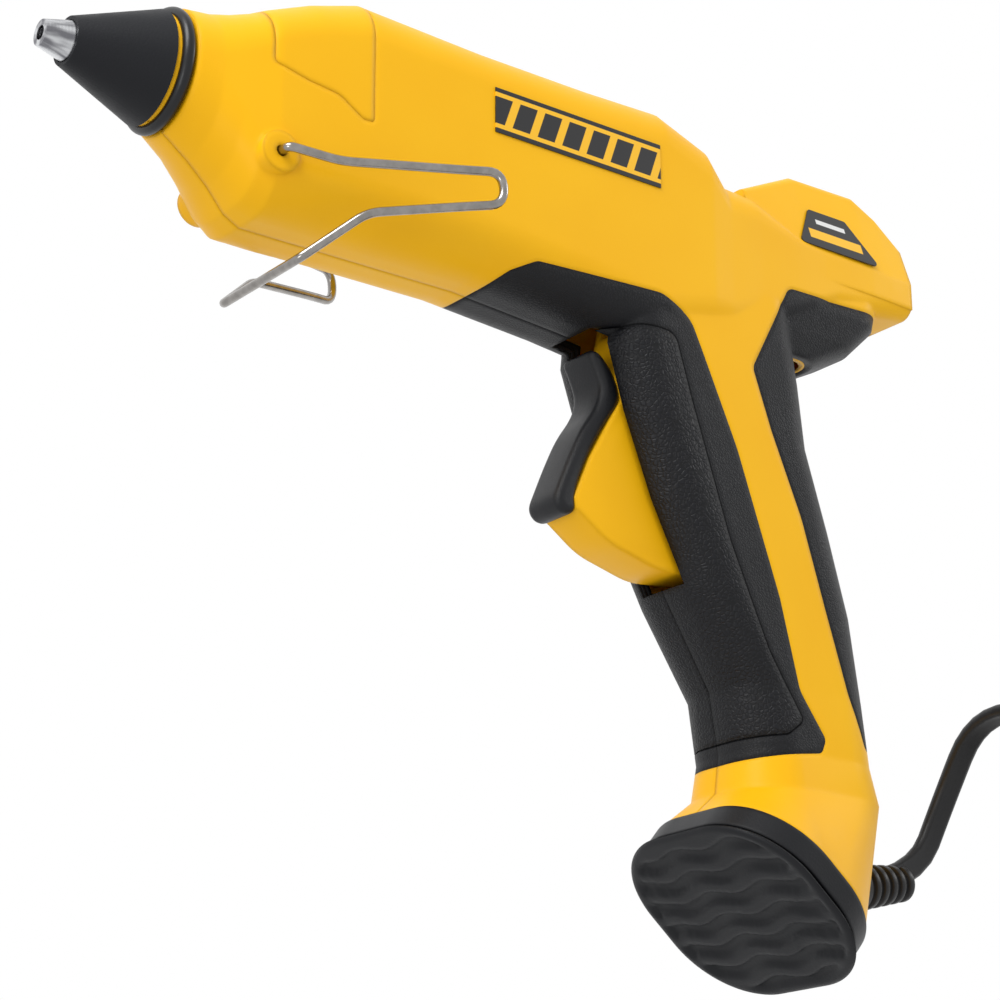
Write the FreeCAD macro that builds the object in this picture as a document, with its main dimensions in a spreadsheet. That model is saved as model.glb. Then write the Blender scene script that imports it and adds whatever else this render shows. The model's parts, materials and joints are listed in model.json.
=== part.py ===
import FreeCAD, Part
import math
import os
from FreeCAD import Placement, Rotation, Vector

# Trigger glue gun.  Every piece is drawn in the gun's own frame: +X runs rearward along the
# barrel from the nozzle's tip, +Y to the gun's right and +Z square to the barrel, upwards.
# SET_DOWN then tips the whole gun nose-down until its foot lies flat on the table, with the
# origin on the table under the middle of the gun.  The foot, the cord, the coil and the plug
# are drawn straight in that table frame.

os.makedirs("parts", exist_ok=True)
doc = FreeCAD.newDocument("glue_gun")

# ---------------------------------------------------------------- driving dimensions, in mm
DIMENSIONS = {
    "rest_tilt": 40.5, "origin_ahead_of_foot": 107.45,
    "tip_radius": 2.97, "tip_bore": 1.6, "tip_length": 6.2, "tip_back_radius": 4.55,
    "nozzle_shoulder": 6.5, "nozzle_length": 30.0,
    "sleeve_back": 25.6, "sleeve_front_radius": 5.5, "sleeve_back_radius": 13.0,
    "collar_at": 28.3, "collar_ring": 12.75, "collar_section": 1.5,
    "spigot_radius": 12.5, "spigot_bore": 11.0,
    "chamber_radius": 9.0, "chamber_front": 24.0, "chamber_back": 92.0,
    "stick_bore": 5.9, "guide_radius": 7.6, "guide_front": 196.0,
    "barrel_end": 241.0, "wall": 3.4, "grip_skin": 2.0,
    "panel_depth": 0.7, "panel_groove": 0.45, "part_line": 0.12, "seam": 0.08,
    "trigger_width": 11.8, "trigger_slot": 14.6, "pivot_x": 158.0, "pivot_below": 40.0,
    "pin_radius": 2.0, "running_gap": 0.05, "carriage_pin_below": 11.0,
    "carriage_radius": 9.0, "carriage_length": 15.0,
    "wire_radius": 1.2, "stand_x": 49.0, "stand_below": 19.6, "boss_radius": 4.7,
    "boss_face": 17.6,
    "foot_half_length": 24.6, "foot_half_width": 27.7, "foot_corner": 21.0, "foot_rim": 8.5,
    "foot_middle": 250.0, "sole_thickness": 2.4, "sole_rib_depth": 0.9,
    "post_radius": 3.3, "screw_radius": 1.3, "screw_head": 2.7,
    "cord_radius": 3.1, "relief_root": 5.4, "relief_end": 4.2, "relief_length": 24.0,
    "coil_inner": 25.8, "coil_outer": 38.8, "coil_height": 13.8,
    "lead_radius": 0.9, "plug_width": 24.0, "plug_height": 16.0, "plug_length": 26.0,
    "blade_width": 6.35, "blade_thickness": 1.5, "blade_length": 16.0, "blade_spacing": 12.7,
}
sheet = doc.addObject("Spreadsheet::Sheet", "dims")
for row, (alias, value) in enumerate(DIMENSIONS.items(), start=1):
    sheet.set(f"A{row}", alias)
    sheet.set(f"B{row}", str(value))
    sheet.setAlias(f"B{row}", alias)
doc.recompute()


def size(alias):
    """A driving dimension, read back from the sheet."""
    return float(getattr(sheet, alias))


TILT = math.radians(size("rest_tilt"))
# The nozzle's lower edge and the sole share the table plane.
TABLE_LIFT = size("tip_radius") * math.cos(TILT)
ORIGIN_X = size("foot_middle") - size("origin_ahead_of_foot")
SET_DOWN = Placement(Vector(-ORIGIN_X, 0, TABLE_LIFT), Rotation(Vector(0, 1, 0), -size("rest_tilt")))
ON_TABLE = Placement(Vector(-ORIGIN_X, 0, 0), Rotation())
TABLE_TO_GUN = SET_DOWN.inverse().multiply(ON_TABLE)
sub_parts = []


# ---------------------------------------------------------------- ways of making a piece
def keep(piece, label, frame_place=SET_DOWN):
    """Names a finished sub-part, carries it from its own frame to the part's and lists it."""
    piece.Label = label
    piece.Placement = frame_place.multiply(piece.Placement)
    sub_parts.append(piece)
    return piece


def bind(item, expressions):
    for prop, expression in expressions.items():
        item.setExpression(prop, expression)
    return item


def along_x(name, kind, x, expressions, y=0.0, z=0.0):
    """A primitive whose axis lies along the barrel."""
    item = doc.addObject(kind, name)
    item.Placement = Placement(Vector(x, y, z), Rotation(Vector(0, 1, 0), 90))
    return bind(item, expressions)


def across(name, x, z, y_from, length, radius):
    """A cylinder across the gun, along +Y."""
    item = doc.addObject("Part::Cylinder", name)
    item.Height = length
    item.Placement = Placement(Vector(x, y_from, z), Rotation(Vector(1, 0, 0), -90))
    return bind(item, {"Radius": radius})


def block(name, corner, lengths):
    item = doc.addObject("Part::Box", name)
    item.Length, item.Width, item.Height = lengths
    item.Placement = Placement(Vector(*corner), Rotation())
    return item


def cut(name, base, tool):
    item = doc.addObject("Part::Cut", name)
    item.Base, item.Tool = base, tool
    return item


def join(name, pieces):
    item = doc.addObject("Part::MultiFuse", name)
    item.Shapes = pieces
    return item


def shaped(name, shape):
    item = doc.addObject("Part::Feature", name)
    item.Shape = shape
    return item


def rounded_edges(points, radii):
    """Edges of a closed outline whose corners are rounded by arcs of the given radii."""
    edges = []
    count = len(points)
    cuts = []
    for index in range(count):
        here = points[index]
        to_last = (points[index - 1] - here).normalize()
        to_next = (points[(index + 1) % count] - here).normalize()
        half = to_last.getAngle(to_next) / 2
        radius = radii[index]
        reach = radius / math.tan(half)
        start = here + to_last * reach
        end = here + to_next * reach
        inward = (to_last + to_next).normalize()
        middle = here + inward * (radius / math.sin(half) - radius)
        cuts.append((start, middle, end, radius))
    for index in range(count):
        start, middle, end, radius = cuts[index]
        if radius > 0:
            edges.append(Part.Arc(start, middle, end))
        following = cuts[(index + 1) % count][0]
        if (following - end).Length > 1e-6:
            edges.append(Part.LineSegment(end, following))
    return edges


def outline_sketch(body, name, points, radii, role):
    """A sketch of a rounded outline on one of the body's own origin planes."""
    sketch = body.newObject("Sketcher::SketchObject", name)
    plane = next(item for item in body.Origin.OriginFeatures if item.Role == role)
    sketch.AttachmentSupport = [(plane, "")]
    sketch.MapMode = "FlatFace"
    flat = [Vector(x, y, 0) for x, y in points]
    for edge in rounded_edges(flat, radii):
        sketch.addGeometry(edge, False)
    return sketch


def padded(name, points, radii, length, role="XZ_Plane", symmetric=True):
    """A body padded from a rounded outline; across the gun it grows equally both ways."""
    body = doc.addObject("PartDesign::Body", name)
    sketch = outline_sketch(body, name + "_outline", points, radii, role)
    pad = body.newObject("PartDesign::Pad", name + "_pad")
    pad.Profile = sketch
    pad.SideType = "Symmetric" if symmetric else "One side"
    pad.setExpression("Length", length)
    sketch.Visibility = False
    return body


def ring_section(centre, across_dir, up_dir, half_across, half_up, radius):
    """A rounded rectangle's wire, in the plane of two directions."""
    corners = [(-1, -1), (1, -1), (1, 1), (-1, 1)]
    points = [centre + across_dir * (half_across * a) + up_dir * (half_up * b) for a, b in corners]
    return Part.Wire([edge.toShape() for edge in rounded_edges(points, [radius] * 4)])


def barrel_section(x, half_width, top, bottom, radius, inset=0.0):
    middle = Vector(x, 0, (top + bottom) / 2)
    return ring_section(middle, Vector(0, 1, 0), Vector(0, 0, 1), half_width - inset,
                        (top - bottom) / 2 - inset, max(radius - inset, 0.6))


def fin_section(x, top, half_top, half_base, radius, inset=0.0):
    """The fin's upright section, whose sides slope in from the base to the top."""
    low = -6.0 + inset
    points = [(-half_base + inset, low), (half_base - inset, low), (half_base - inset, FIN_BASE),
              (half_top - inset, top - inset), (-half_top + inset, top - inset),
              (-half_base + inset, FIN_BASE)]
    corners = [Vector(x, y, z) for y, z in points]
    edges = rounded_edges(corners, [0.3, 0.3, 2.0, radius, radius, 2.0])
    return Part.Wire([edge.toShape() for edge in edges])


def handle_section(z, front, rear, half_width, radius, inset=0.0):
    middle = Vector((front + rear) / 2, 0, z)
    return ring_section(middle, Vector(1, 0, 0), Vector(0, 1, 0), (rear - front) / 2 - inset,
                        half_width - inset, max(radius - inset, 0.6))


def foot_section(height, shrink):
    """The foot's outline at a height over the table, carried into the gun's frame."""
    wire = ring_section(Vector(size("foot_middle"), 0, height), Vector(1, 0, 0), Vector(0, 1, 0),
                        size("foot_half_length") - shrink, size("foot_half_width") - shrink,
                        size("foot_corner") - shrink)
    wire.Placement = TABLE_TO_GUN
    return wire


def rounded_route(points, radii=None):
    """Straight runs joined by tangent arcs."""
    corners = []
    for index in range(1, len(points) - 1):
        here = points[index]
        back = points[index - 1] - here
        ahead = points[index + 1] - here
        half_turn = (math.pi - back.getAngle(ahead)) / 2
        if radii:
            radius = radii[index - 1]
        else:
            radius = 0.45 * min(back.Length, ahead.Length) / math.tan(half_turn)
        reach = radius * math.tan(half_turn)
        to_back, to_ahead = back.normalize(), ahead.normalize()
        inward = (to_back + to_ahead).normalize()
        middle = here + inward * (radius / math.cos(half_turn) - radius)
        corners.append((here + to_back * reach, middle, here + to_ahead * reach))
    edges = []
    last = points[0]
    for start, middle, end in corners:
        edges.append(Part.LineSegment(last, start).toShape())
        edges.append(Part.Arc(start, middle, end).toShape())
        last = end
    edges.append(Part.LineSegment(last, points[-1]).toShape())
    return Part.Wire(edges)


def swept(name, wire, radius):
    """A round bar swept along a route, its radius bound to the sheet."""
    spine = shaped(name + "_route", wire)
    profile = bind(doc.addObject("Part::Circle", name + "_section"), {"Radius": radius})
    heading = wire.Edges[0].tangentAt(wire.Edges[0].FirstParameter)
    profile.Placement = Placement(wire.Vertexes[0].Point, Rotation(Vector(0, 0, 1), heading))
    item = doc.addObject("Part::Sweep", name)
    item.Sections = [profile]
    item.Spine = (spine, [f"Edge{number}" for number in range(1, len(wire.Edges) + 1)])
    item.Solid = True
    return item


# ---------------------------------------------------------------- housing: outside and inside
# Barrel sections: x, half width, top, bottom, corner radius.
BARREL = [
    (30.0, 14.3, 14.3, -14.3, 14.0), (36.0, 14.7, 14.8, -18.8, 14.0), (41.0, 15.4, 15.6, -23.4, 13.0),
    (45.5, 16.0, 16.8, -28.8, 12.0), (49.5, 16.6, 18.4, -31.0, 11.0), (60.0, 16.8, 23.0, -31.0, 11.0),
    (72.0, 17.0, 27.3, -31.0, 12.0),
    (106.0, 17.0, 26.2, -31.0, 12.0), (137.0, 17.0, 26.3, -33.5, 12.0), (158.0, 17.0, 27.0, -36.0, 12.0),
    (172.0, 17.0, 22.0, -33.0, 12.0), (178.0, 16.6, 13.2, -31.0, 10.0), (188.0, 16.2, 12.4, -25.0, 9.0),
    (200.0, 15.9, 5.0, -18.0, 4.0), (214.0, 15.4, 4.0, -12.0, 4.0), (241.0, 14.6, 3.0, -8.0, 4.0),
]
# Handle sections: z, front, rear, half width, corner radius.
HANDLE = [
    (-16.0, 148.0, 200.0, 16.2, 9.0), (-36.0, 146.0, 203.0, 16.2, 9.0), (-52.0, 150.5, 205.5, 16.0, 10.0),
    (-72.0, 158.0, 212.8, 15.6, 11.0), (-92.0, 168.0, 218.8, 15.2, 11.0),
    (-113.0, 181.0, 222.6, 15.0, 12.0), (-128.0, 183.3, 224.2, 15.2, 12.0),
    (-137.0, 182.0, 226.0, 16.6, 13.0),
]
# Raised fin with sloping sides over the inlet: x, top, half width at its top, at its base, radius.
FIN_BASE = 1.0
FIN = [(186.0, 13.4, 12.2, 15.9, 2.0), (206.0, 23.8, 8.6, 15.6, 3.0), (227.0, 24.2, 8.6, 15.3, 3.0),
       (234.0, 20.0, 9.4, 15.0, 3.0), (241.0, 12.2, 11.0, 14.6, 2.0)]
# The rounded tang over the thumb web.
TANG = [
    (-8.0, 190.0, 232.0, 14.8, 8.0), (-14.0, 190.0, 231.0, 14.8, 9.0), (-21.0, 190.0, 224.0, 13.5, 9.0),
    (-27.0, 192.0, 212.0, 12.0, 8.0),
]


def housing_solid(inset):
    """The housing's outer form, or the form inset for its hollow."""
    rows, fin_rows = (BARREL, FIN) if inset == 0 else (BARREL[1:-1], FIN[:-1])
    barrel = Part.makeLoft([barrel_section(*row, inset) for row in rows], True, True)
    handle_wires = [handle_section(*row, inset) for row in HANDLE]
    handle_wires.append(foot_section(size("foot_rim") + inset, 1.0 + inset))
    handle = Part.makeLoft(handle_wires, True, True)
    fin = Part.makeLoft([fin_section(*row, inset) for row in fin_rows], True, True)
    tang = Part.makeLoft([handle_section(*row, inset) for row in TANG], True, True)
    return barrel.fuse([handle, fin, tang]).removeSplitter()


outer = housing_solid(0.0)
inner = housing_solid(size("wall"))
# The nose is bored through for the melt chamber, and carries the spigot for the collar.
AXIS = Vector(1, 0, 0)
spigot = Part.makeCylinder(size("spigot_radius"), 7.0, Vector(25.8, 0, 0), AXIS)
nose_bore = Part.makeCylinder(size("spigot_bore"), 24.0, Vector(25.0, 0, 0), AXIS)
guide_bore = Part.makeCylinder(size("guide_radius") + 0.1, 60.0, Vector(192.0, 0, 0), AXIS)
ACROSS = Vector(0, 1, 0)
PIVOT = Vector(size("pivot_x"), 0, -size("pivot_below"))
STAND = Vector(size("stand_x"), 0, -size("stand_below"))
boss = Part.makeCylinder(size("boss_radius"), 2 * size("boss_face"),
                         STAND - ACROSS * size("boss_face"), ACROSS)
boss_hole = Part.makeCylinder(size("wire_radius") + 0.1, 60.0, STAND - ACROSS * 30.0, ACROSS)
boss_middle = Part.makeCylinder(size("boss_radius") + 1.0, 21.0, STAND - ACROSS * 10.5, ACROSS)
boss_core = Part.makeCylinder(size("boss_radius"), 32.0, STAND - ACROSS * 16.0, ACROSS).cut(boss_middle)
pin_post = Part.makeCylinder(5.2, 28.0, PIVOT - ACROSS * 14.0, ACROSS)
spring_pocket = Part.makeCylinder(3.9, 6.0, PIVOT - ACROSS * 11.4, ACROSS)
pin_hole = Part.makeCylinder(size("pin_radius") + 0.02, 27.0, PIVOT - ACROSS * 13.5, ACROSS)
# Trigger slot, from the barrel's underside down the handle's front.
slot_outline = [Vector(138.0, 0, -8.0), Vector(182.0, 0, -8.0), Vector(194.5, 0, -40.0),
                Vector(198.0, 0, -88.0), Vector(160.0, 0, -91.5), Vector(120.0, 0, -91.5),
                Vector(136.0, 0, -50.0), Vector(141.0, 0, -36.0), Vector(141.0, 0, -28.0)]
slot_face = Part.Face(Part.makePolygon(slot_outline + slot_outline[:1]))
slot_face.translate(ACROSS * (-size("trigger_slot") / 2))
trigger_slot = slot_face.extrude(ACROSS * size("trigger_slot"))

# Screw posts, in x and z, and the screws that close the two halves.
SCREW_PLACES = [(62.0, -24.0), (96.0, 19.5), (132.0, 19.0), (190.0, -14.0), (200.5, -66.0),
                (211.0, -98.0), (193.0, -124.0)]
posts = [Part.makeCylinder(size("post_radius"), 32.0, Vector(x, -16.0, z), ACROSS)
         for x, z in SCREW_PLACES]
HEAD_AT = 9.0


def screw_shape(x, z, gap):
    """A screw from the right: its thread ends in the left half, its head lies in the right."""
    shank = Part.makeCylinder(size("screw_radius") + gap, 20.0 + gap,
                              Vector(x, HEAD_AT - 20.0 - gap, z), ACROSS)
    head = Part.makeCylinder(size("screw_head") + gap, 2.2, Vector(x, HEAD_AT - gap, z), ACROSS)
    return shank.fuse(head)


# Strain relief and cord gland, near the bottom of the handle's back.
RELIEF_ROOT = Vector(221.0, 0, -154.6)
RELIEF_WAY = Vector(0.985, 0, 0.174).normalize()
gland_hole = Part.makeCylinder(size("relief_root") + 0.1, 12.0, RELIEF_ROOT - RELIEF_WAY * 4.0, RELIEF_WAY)
gland_seat = Part.makeCylinder(size("relief_root") + 2.2, 4.05, RELIEF_ROOT - RELIEF_WAY * 4.0, RELIEF_WAY)

shell = outer.fuse([spigot, boss])
hollow = inner.cut(Part.makeCompound(posts)).cut(boss_core)
shell = shell.cut(hollow).fuse(pin_post.cut(trigger_slot))
for opening in (nose_bore, guide_bore, boss_hole, pin_hole, spring_pocket, trigger_slot, gland_hole,
                gland_seat):
    shell = shell.cut(opening)
for x, z in SCREW_PLACES:
    shell = shell.cut(screw_shape(x, z, 0.1))
    shell = shell.cut(Part.makeCylinder(size("screw_head") + 0.3, 12.0, Vector(x, HEAD_AT, z), ACROSS))

# Soft grips are moulded over each half in a recess: the front grip runs from the barrel's
# underside round the trigger and down the handle, the rear grip down its back.
FRONT_GRIP = [(98.0, -44.0), (104.0, -37.0), (113.0, -28.5), (119.0, -25.5), (155.0, -24.5),
              (164.0, -28.0), (178.0, -58.0), (190.5, -92.0), (196.0, -113.5), (203.5, -124.0),
              (202.0, -127.5), (183.0, -130.5), (165.0, -131.0), (140.0, -100.0), (120.0, -60.0)]
FRONT_RADII = [0.5, 4.0, 4.0, 4.0, 8.0, 8.0, 20.0, 20.0, 8.0, 2.0, 2.0, 8.0, 1.0, 1.0, 1.0]
REAR_GRIP = [(196.5, -12.0), (240.0, -10.5), (250.0, -40.0), (240.0, -80.0), (236.0, -125.0),
             (217.5, -124.0), (211.5, -112.0), (198.0, -71.0), (189.0, -51.0), (183.5, -36.0)]
REAR_RADII = [3.0, 2.0, 2.0, 2.0, 2.0, 2.0, 20.0, 20.0, 20.0, 3.0]


def grip_prism(points, radii, inset=0.0):
    """A block right through the gun with a rounded outline, drawn in to leave a gap all round."""
    corners = [Vector(x, 0, z) for x, z in points]
    edges = [edge.toShape() for edge in rounded_edges(corners, radii)]
    face = Part.Face(Part.Wire(edges))
    if inset:
        face = face.makeOffset2D(-inset)
    face.translate(ACROSS * -30.0)
    return face.extrude(ACROSS * 60.0)


under_grip = housing_solid(size("grip_skin"))
skin = outer.cut(under_grip)
for opening in (guide_bore, trigger_slot):
    skin = skin.cut(opening)
for x, z in SCREW_PLACES:
    skin = skin.cut(Part.makeCylinder(size("screw_head") + 0.3, 12.0, Vector(x, HEAD_AT, z), ACROSS))
front_prism = grip_prism(FRONT_GRIP, FRONT_RADII)
rear_prism = grip_prism(REAR_GRIP, REAR_RADII)
front_grip = skin.common(front_prism)
rear_grip = skin.common(rear_prism)
shell = shell.cut(front_grip).cut(rear_grip)
# A grained panel is let into the front grip on each side, with a fine groove round it.
PANEL = [(121.4, -39.5), (129.5, -35.2), (150.0, -32.4), (159.6, -33.0), (164.4, -48.5), (175.6, -80.5),
         (187.0, -105.0), (197.2, -120.5), (192.0, -124.5), (178.1, -126.4), (170.0, -128.0), (130.0, -60.0)]
PANEL_RADII = [2.0, 6.0, 8.0, 4.0, 20.0, 20.0, 12.0, 2.0, 2.0, 0.5, 0.5, 0.5]
panel_skin = outer.cut(housing_solid(size("panel_depth"))).common(front_grip)
panel_pocket = panel_skin.common(grip_prism(PANEL, PANEL_RADII))
front_panel = panel_skin.common(grip_prism(PANEL, PANEL_RADII, size("panel_groove")))
front_grip = front_grip.cut(panel_pocket)

# The saddle-shaped cover let into the top of the barrel behind the nose.
SADDLE = [(47.5, 40.0), (47.5, 1.5), (56.0, -0.5), (64.0, -1.5), (70.0, -5.5), (73.0, -5.5), (73.0, 40.0)]
SADDLE_RADII = [1.0, 1.5, 6.0, 6.0, 1.0, 1.0, 1.0]
saddle_skin = outer.cut(under_grip)
shell = shell.cut(saddle_skin.common(grip_prism(SADDLE, SADDLE_RADII)))
top_saddle = saddle_skin.common(grip_prism(SADDLE, SADDLE_RADII, size("part_line")))

# The halves meet at a fine seam line in the middle of the gun.
for low, label in ((-40.0 - size("seam"), "left"), (size("seam"), "right")):
    half_space = Part.makeBox(320.0, 40.0, 260.0, Vector(0, low, -200.0))
    keep(shaped("housing_" + label, shell.common(half_space)), "housing_" + label)
    keep(shaped("front_grip_" + label, front_grip.common(half_space)), "front_grip_" + label)
    keep(shaped("rear_grip_" + label, rear_grip.common(half_space)), "rear_grip_" + label)
    keep(shaped("grip_panel_" + label, front_panel.common(half_space)), "grip_panel_" + label)
keep(shaped("top_saddle", top_saddle), "top_saddle")
screws = Part.makeCompound([screw_shape(x, z, 0.0) for x, z in SCREW_PLACES])
keep(shaped("housing_screws", screws), "housing_screws")

# ---------------------------------------------------------------- nose: nozzle, sleeve, collar
tip = along_x("nozzle_tip", "Part::Cone", 0.0, {
    "Radius1": "dims.tip_radius", "Radius2": "dims.tip_back_radius", "Height": "dims.tip_length"})
taper = along_x("nozzle_taper", "Part::Cone", size("tip_length"), {
    "Radius1": "dims.tip_back_radius", "Radius2": "dims.nozzle_shoulder"})
taper.Height = 10.0
shank = along_x("nozzle_shank", "Part::Cylinder", size("tip_length") + 10.0,
                {"Radius": "dims.nozzle_shoulder - 1"})
shank.Height = size("nozzle_length") - size("tip_length") - 10.0
tip_bore = along_x("nozzle_bore", "Part::Cylinder", -1.0,
                   {"Radius": "dims.tip_bore", "Height": "dims.nozzle_length + 2"})
keep(cut("nozzle", join("nozzle_form", [tip, taper, shank]), tip_bore), "nozzle")

sleeve_form = along_x("sleeve_form", "Part::Cone", size("tip_length") - 0.2, {
    "Radius1": "dims.sleeve_front_radius", "Radius2": "dims.sleeve_back_radius",
    "Height": "dims.sleeve_back - dims.tip_length + 0.2"})
sleeve_way = along_x("sleeve_way", "Part::Cone", size("tip_length") - 0.3, {
    "Radius1": "dims.tip_back_radius + 0.1", "Radius2": "dims.nozzle_shoulder + 0.2"})
sleeve_way.Height = 10.4
sleeve_hollow = along_x("sleeve_hollow", "Part::Cone", size("tip_length") + 10.0, {
    "Radius1": "dims.nozzle_shoulder + 0.2", "Radius2": "dims.sleeve_back_radius - 2.2"})
sleeve_hollow.Height = size("sleeve_back") - size("tip_length") - 9.9
keep(cut("nose_sleeve", sleeve_form, join("sleeve_inside", [sleeve_way, sleeve_hollow])), "nose_sleeve")

collar = along_x("collar_form", "Part::Torus", size("collar_at"), {
    "Radius1": "dims.collar_ring", "Radius2": "dims.collar_section"})
collar_way = along_x("collar_way", "Part::Cylinder", size("collar_at") - 5.0,
                     {"Radius": "dims.spigot_radius + 0.05"})
collar_way.Height = 10.0
keep(cut("collar_ring", collar, collar_way), "collar_ring")

# ---------------------------------------------------------------- melt chamber and heater
chamber = along_x("chamber_tube", "Part::Cylinder", size("chamber_front"), {
    "Radius": "dims.chamber_radius", "Height": "dims.chamber_back - dims.chamber_front"})
chamber_pad = block("chamber_pad", (46.0, -7.0, -12.0), (38.0, 14.0, 12.0))
chamber_socket = along_x("chamber_socket", "Part::Cylinder", size("chamber_front") - 1.0,
                         {"Radius": "dims.nozzle_shoulder - 0.95"})
chamber_socket.Height = 8.0
chamber_throat = along_x("chamber_throat", "Part::Cylinder", size("chamber_front"),
                         {"Radius": "dims.tip_bore + 1"})
chamber_throat.Height = 20.0
chamber_bore = along_x("chamber_bore", "Part::Cylinder", 38.0, {"Radius": "dims.stick_bore"})
chamber_bore.Height = 60.0
keep(cut("melt_chamber", join("chamber_form", [chamber, chamber_pad]),
         join("chamber_ways", [chamber_socket, chamber_throat, chamber_bore])), "melt_chamber")
keep(block("ceramic_heater", (50.0, -6.0, -15.1), (28.0, 12.0, 3.0)), "ceramic_heater")
clip_form = block("clip_form", (54.0, -8.2, -16.3), (20.0, 16.4, 10.0))
clip_way = block("clip_way", (53.0, -7.2, -15.3), (22.0, 14.4, 12.0))
keep(cut("heater_clip", clip_form, clip_way), "heater_clip")


def ring_along(name, x, length, outside, inside):
    """A plain ring on the barrel's axis."""
    body = along_x(name + "_form", "Part::Cylinder", x, {"Radius": outside})
    way = along_x(name + "_way", "Part::Cylinder", x - 1.0, {"Radius": inside})
    body.Height, way.Height = length, length + 2.0
    return keep(cut(name, body, way), name)


ring_along("front_chamber_support", 33.0, 5.0, "dims.spigot_bore - 0.1", "dims.chamber_radius + 0.05")
ring_along("rear_chamber_support", 86.0, 4.0, "dims.chamber_radius + 4", "dims.chamber_radius + 0.05")
ring_along("stick_inlet_seal", 92.2, 15.0, "dims.stick_bore + 2.6", "dims.stick_bore - 0.15")
ring_along("seal_clamp", 95.0, 4.0, "dims.stick_bore + 3.6", "dims.stick_bore + 2.65")
ring_along("stick_guide", size("guide_front"), size("barrel_end") - size("guide_front"),
           "dims.guide_radius", "dims.stick_bore")

# ---------------------------------------------------------------- trigger, carriage, spring
PAD_FRONT = [(142.4, -38.8), (145.0, -47.0), (139.2, -58.9), (134.8, -68.5), (131.8, -76.0), (134.2, -79.4)]
PAD_BACK = [(137.2, -78.0), (136.6, -75.5), (141.5, -64.6), (147.6, -54.0), (151.0, -48.5),
            (148.4, -42.0), (145.0, -37.9)]
PAD_RADII = [1.0, 8.0, 12.0, 8.0, 2.0, 1.5, 0.8, 1.0, 8.0, 8.0, 1.5, 4.0, 0.8]
keep(padded("trigger_pad", PAD_FRONT + PAD_BACK, PAD_RADII, "dims.trigger_width"), "trigger_pad")
pin_x = size("pivot_x") + (size("pivot_below") - size("carriage_pin_below")) * math.tan(math.radians(10.0))
LEVER = [(137.4, -78.1), (136.9, -75.6), (141.7, -64.8), (147.8, -54.2), (151.3, -48.5), (149.5, -43.5),
         (152.5, -33.0), (pin_x - 5.2, -9.6), (pin_x + 2.4, -9.6), (pin_x + 5.0, -12.5), (167.5, -40.0),
         (178.5, -76.0), (177.5, -86.8), (162.0, -88.4), (146.5, -84.4)]
LEVER_RADII = [0.4, 1.0, 8.0, 8.0, 1.5, 1.5, 4.0, 1.5, 0.5, 0.5, 10.0, 4.0, 3.0, 20.0, 20.0]
lever = padded("lever_plate", LEVER, LEVER_RADII, "dims.trigger_width")
arm_gap = block("lever_arm_gap", (pin_x - 12.0, -3.9, -30.0), (24.0, 7.8, 30.0))
lever_hole = across("lever_hole", size("pivot_x"), -size("pivot_below"), -12.0, 24.0,
                    "dims.pin_radius + dims.running_gap")
# The fork's slot points at the pivot, square to its travel.
SLOT_LOW, SLOT_HIGH = 26.0, 36.0
arm_way = Vector(pin_x - PIVOT.x, 0, size("pivot_below") - size("carriage_pin_below")).normalize()
slot_half = Vector(arm_way.z, 0, -arm_way.x) * (size("pin_radius") + 0.15)
slot_corners = [PIVOT + arm_way * SLOT_LOW - slot_half, PIVOT + arm_way * SLOT_LOW + slot_half,
                PIVOT + arm_way * SLOT_HIGH + slot_half, PIVOT + arm_way * SLOT_HIGH - slot_half]
fork = padded("lever_fork", [(corner.x, corner.z) for corner in slot_corners], [0.6, 0.6, 0.3, 0.3],
              "dims.trigger_width + 2")
keep(cut("trigger_lever", lever, join("lever_ways", [arm_gap, lever_hole, fork])), "trigger_lever")
pin = across("trigger_pin", size("pivot_x"), -size("pivot_below"), -13.0, 26.0, "dims.pin_radius")
keep(pin, "trigger_pin")

carriage_x = pin_x - size("carriage_length") / 2
carriage_form = along_x("carriage_ring", "Part::Cylinder", carriage_x, {
    "Radius": "dims.carriage_radius", "Height": "dims.carriage_length"})
carriage_lug = block("carriage_lug", (carriage_x + 3.0, -3.5, -14.0), (9.0, 7.0, 8.0))
carriage_pin = across("carriage_pin", pin_x, -size("carriage_pin_below"), -5.8, 11.6, "dims.pin_radius")
carriage_way = along_x("carriage_way", "Part::Cylinder", carriage_x - 1.0, {
    "Radius": "dims.stick_bore + 0.4", "Height": "dims.carriage_length + 2"})
shoe_pocket = block("shoe_pocket", (carriage_x + 3.4, -2.3, -9.1), (8.2, 4.6, 5.0))
keep(cut("feed_carriage", join("carriage_body", [carriage_form, carriage_lug, carriage_pin]),
         join("carriage_ways", [carriage_way, shoe_pocket])), "feed_carriage")
TEETH = [(carriage_x + 3.6, -9.0), (carriage_x + 11.4, -9.0),
         (carriage_x + 11.4, -6.6), (carriage_x + 10.1, -6.0),
         (carriage_x + 8.8, -6.6), (carriage_x + 7.5, -6.0),
         (carriage_x + 6.2, -6.6), (carriage_x + 4.9, -6.0),
         (carriage_x + 3.6, -6.6)]
teeth = doc.addObject("PartDesign::Body", "grip_teeth")
teeth_sketch = outline_sketch(teeth, "teeth_outline", TEETH, [0.05] * len(TEETH), "XZ_Plane")
teeth_pad = teeth.newObject("PartDesign::Pad", "teeth_pad")
teeth_pad.Profile, teeth_pad.SideType, teeth_pad.Length = teeth_sketch, "Symmetric", 4.4
keep(teeth, "grip_teeth")

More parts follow.
